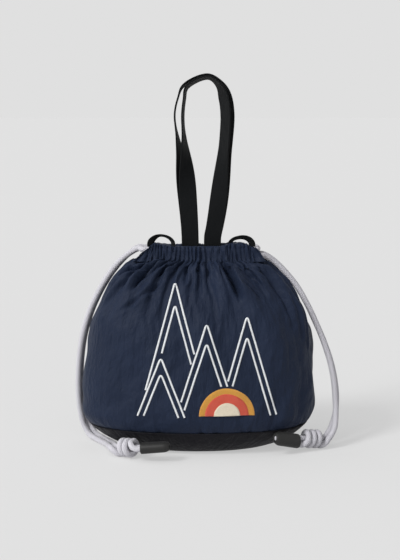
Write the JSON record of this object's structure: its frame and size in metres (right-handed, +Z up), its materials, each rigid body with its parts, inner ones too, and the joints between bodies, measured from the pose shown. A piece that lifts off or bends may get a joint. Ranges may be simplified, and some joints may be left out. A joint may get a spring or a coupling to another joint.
{
  "type": "drawstring bag",
  "caption": "Soft nylon bag on a dark base, gathered into two drawcord casings, with tape handles, pull loops and drawstrings that end in knots and sleeves.",
  "frame": {"origin": "centre of the bag's footprint on the surface that it stands on, without the cords", "axes": "+X to the right seen from the front, -Y toward the front, +Z up"},
  "size_m": [0.315, 0.1726, 0.4363],
  "materials": {
    "navy_nylon": "satin crinkled nylon",
    "black_nylon": "satin",
    "binding_tape": "matte woven",
    "black_tape": "matte woven webbing",
    "braided_cord": "matte braid",
    "sleeve_rubber": "soft matte"
  },
  "bodies": {
    "bag": {"front_panel": "navy_nylon", "back_panel": "navy_nylon", "base_panel": "black_nylon", "left_seam_binding": "binding_tape", "right_seam_binding": "binding_tape", "base_seam_binding": "binding_tape", "front_casing": "navy_nylon", "back_casing": "navy_nylon", "left_drawstring_inner_run": "braided_cord", "right_drawstring_inner_run": "braided_cord", "front_strap_end_left": "black_tape", "front_strap_end_right": "black_tape", "back_strap_end_left": "black_tape", "back_strap_end_right": "black_tape"},
    "front_handle": {"front_handle": "black_tape"},
    "back_handle": {"back_handle": "black_tape"},
    "left_pull_loop": {"left_pull_loop": "black_tape"},
    "right_pull_loop": {"right_pull_loop": "black_tape"},
    "left_drawstring": {"left_cord_back": "braided_cord", "left_cord_front": "braided_cord", "left_knot": "braided_cord", "left_cord_sleeve": "sleeve_rubber"},
    "right_drawstring": {"right_cord_back": "braided_cord", "right_cord_front": "braided_cord", "right_knot": "braided_cord", "right_cord_sleeve": "sleeve_rubber"}
  },
  "joints": [
    {"name": "front_handle_fold", "type": "hinge", "parent": "bag", "child": "front_handle", "pos_m": [0.004, -0.0059, 0.2404], "axis": [1, 0, 0], "range_deg": [0, 90]},
    {"name": "back_handle_fold", "type": "hinge", "parent": "bag", "child": "back_handle", "pos_m": [0.004, 0.0059, 0.2404], "axis": [1, 0, 0], "range_deg": [-90, 0]},
    {"name": "left_pull_loop_tilt", "type": "hinge", "parent": "bag", "child": "left_pull_loop", "pos_m": [0.004, -0.0123, 0.2433], "axis": [1, 0, 0], "range_deg": [-80, 80]},
    {"name": "right_pull_loop_tilt", "type": "hinge", "parent": "bag", "child": "right_pull_loop", "pos_m": [0.004, -0.0123, 0.2433], "axis": [1, 0, 0], "range_deg": [-80, 80]},
    {"name": "left_drawstring_pull", "type": "slide", "parent": "bag", "child": "left_drawstring", "axis": [-1, 0, 0], "range_m": [0, 0.045]},
    {"name": "right_drawstring_pull", "type": "slide", "parent": "bag", "child": "right_drawstring", "axis": [1, 0, 0], "range_m": [0, 0.045]}
  ]
}
